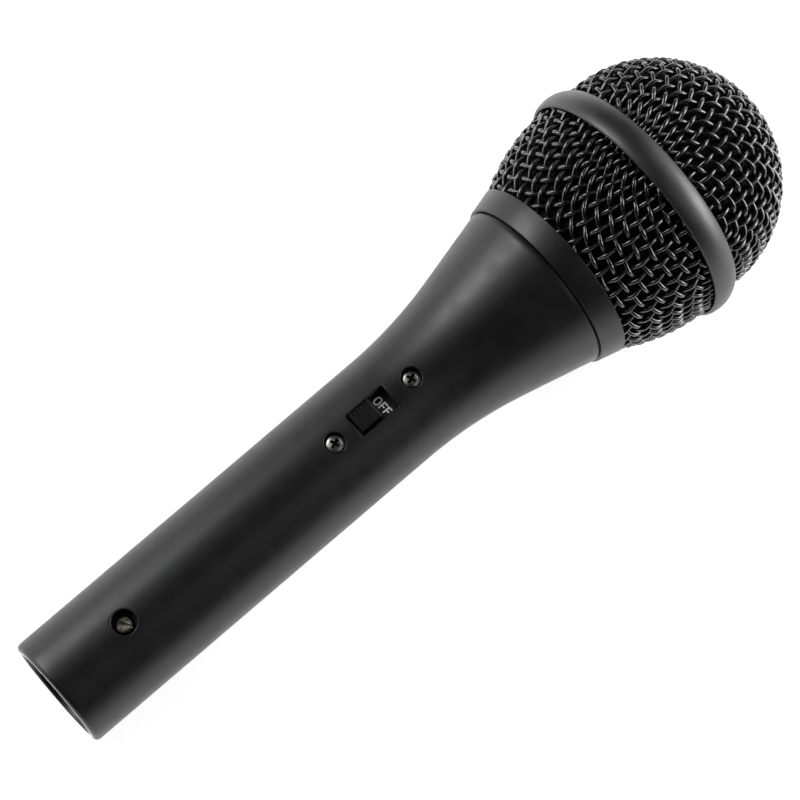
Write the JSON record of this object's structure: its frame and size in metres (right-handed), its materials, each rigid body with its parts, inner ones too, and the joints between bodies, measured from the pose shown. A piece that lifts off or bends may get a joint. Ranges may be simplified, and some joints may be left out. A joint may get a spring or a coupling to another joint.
{
  "type": "dynamic microphone",
  "caption": "Handheld dynamic vocal microphone: flared black metal handle with slide switch and male XLR socket, domed woven-wire grille with a centre band.",
  "frame": {"origin": "on the microphone's axis, at the middle of the stretch of handle that a stand clip grips, 55 mm from the rear face", "axes": "+X along the axis from the XLR socket towards the grille, +Z out of the handle on the side of the slide switch, +Y completes a right-handed frame"},
  "size_m": [0.1922, 0.0574, 0.0574],
  "materials": {
    "black_enamel": "satin black enamel, very fine texture",
    "black_band": "satin black enamel",
    "black_wire": "semi-gloss black woven steel wire",
    "black_foam": "open-cell acoustic foam",
    "black_plastic": "moulded, fine ribs",
    "label_plate": "matt black with pale state lettering",
    "dark_nickel": "dark nickel plate",
    "steel": "plain steel",
    "silver_contact": "silver plate",
    "brass": "machined",
    "copper_wire": "wound copper wire",
    "moulded_black": "moulded",
    "black_nylon": "moulded",
    "grey_rubber": "soft moulded rubber",
    "grey_felt": "pressed felt",
    "ferrite": "ground magnet",
    "clear_film": "thin film",
    "red_lead": "insulated lead",
    "black_lead": "insulated lead",
    "white_lead": "insulated lead",
    "green_lead": "insulated lead"
  },
  "bodies": {
    "handle": {"handle_body": "black_enamel", "switch_bracket": "steel", "switch_body": "black_plastic", "switch_screw_rear": "dark_nickel", "switch_screw_front": "dark_nickel", "switch_terminal_1": "brass", "switch_terminal_2": "brass", "switch_terminal_3": "brass", "xlr_insert": "moulded_black", "xlr_pin_1": "silver_contact", "xlr_pin_2": "silver_contact", "xlr_pin_3": "silver_contact", "xlr_set_screw": "steel", "ground_tag": "brass", "shock_mount": "grey_rubber", "air_chamber": "moulded_black", "capsule_housing": "moulded_black", "capsule_cap": "moulded_black", "felt_disc": "grey_felt", "magnet_yoke": "steel", "magnet": "ferrite", "pole_plate": "steel", "diaphragm_ring": "brass", "capsule_terminal_hot": "brass", "capsule_terminal_cold": "brass", "lead_capsule_hot": "red_lead", "lead_capsule_cold": "black_lead", "lead_switch_hot": "white_lead", "lead_ground": "green_lead"},
    "switch_slider": {"switch_knob": "black_plastic", "switch_shutter": "label_plate", "switch_contact": "brass"},
    "grille_washer": {"collar_washer": "black_nylon"},
    "grille": {"collar_ring": "black_enamel", "grille_thread_ring": "brass", "basket_grille": "black_wire", "grille_band": "black_band", "ball_grille": "black_wire", "basket_foam": "black_foam", "ball_foam": "black_foam"},
    "moving_coil": {"diaphragm": "clear_film", "voice_coil": "copper_wire"}
  },
  "joints": [
    {"name": "switch_slide", "type": "slide", "parent": "handle", "child": "switch_slider", "axis": [1, 0, 0], "range_m": [0, 0.0037]},
    {"name": "grille_travel", "type": "slide", "parent": "handle", "child": "grille_washer", "axis": [1, 0, 0], "range_m": [0, 0.00425]},
    {"name": "grille_turn", "type": "hinge", "parent": "grille_washer", "child": "grille", "pos_m": [0.0754, 0, 0], "axis": [1, 0, 0], "range_deg": [0, 1530]},
    {"name": "diaphragm_travel", "type": "slide", "parent": "handle", "child": "moving_coil", "axis": [1, 0, 0], "range_m": [-0.00025, 0.00025], "stiffness_N_per_m": 50}
  ],
  "couplings": [
    {"joint": "grille_travel", "follows": "grille_turn", "m_per_rad": 0.00015915}
  ]
}
